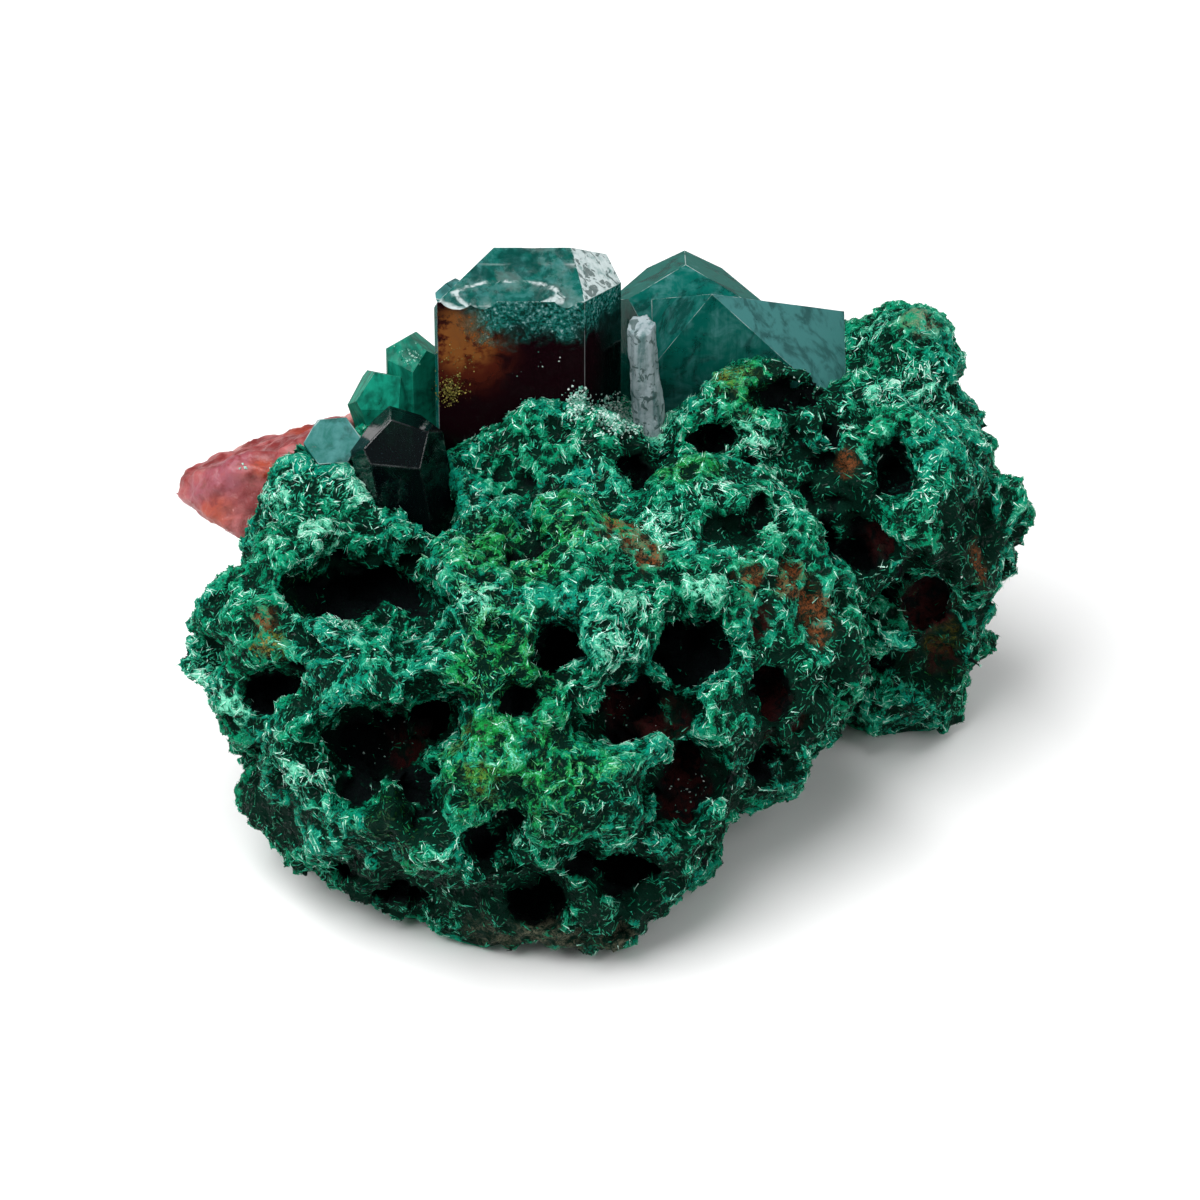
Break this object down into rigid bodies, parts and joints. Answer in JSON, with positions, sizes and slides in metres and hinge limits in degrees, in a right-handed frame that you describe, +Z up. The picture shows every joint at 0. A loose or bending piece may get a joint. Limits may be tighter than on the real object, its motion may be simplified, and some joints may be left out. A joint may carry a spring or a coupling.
{
  "type": "dioptase specimen",
  "caption": "Dioptase mineral specimen: dark green glassy crystals on a spongy green crust rock full of pits, with a pink stone at its left side.",
  "frame": {"origin": "middle of the underside of the specimen's bounding box, on the surface that it rests on", "axes": "+X to the viewer's right along the specimen's width, +Y away from the viewer, +Z up through the crystals"},
  "size_m": [0.0528, 0.0462, 0.0336],
  "materials": {
    "rock": "rough, crusty, with dark pits",
    "dioptase": "glassy, deep green",
    "pale_dioptase": "satin, frosted",
    "pink_stone": "waxy, slightly translucent"
  },
  "bodies": {
    "root": {"matrix": "rock", "large_crystal": "dioptase", "side_crystal": "pale_dioptase", "paired_crystals": "dioptase", "hollow_crystal": "dioptase", "left_crystals": "dioptase", "left_flat_crystal": "dioptase", "pink_stone": "pink_stone"}
  },
  "joints": []
}
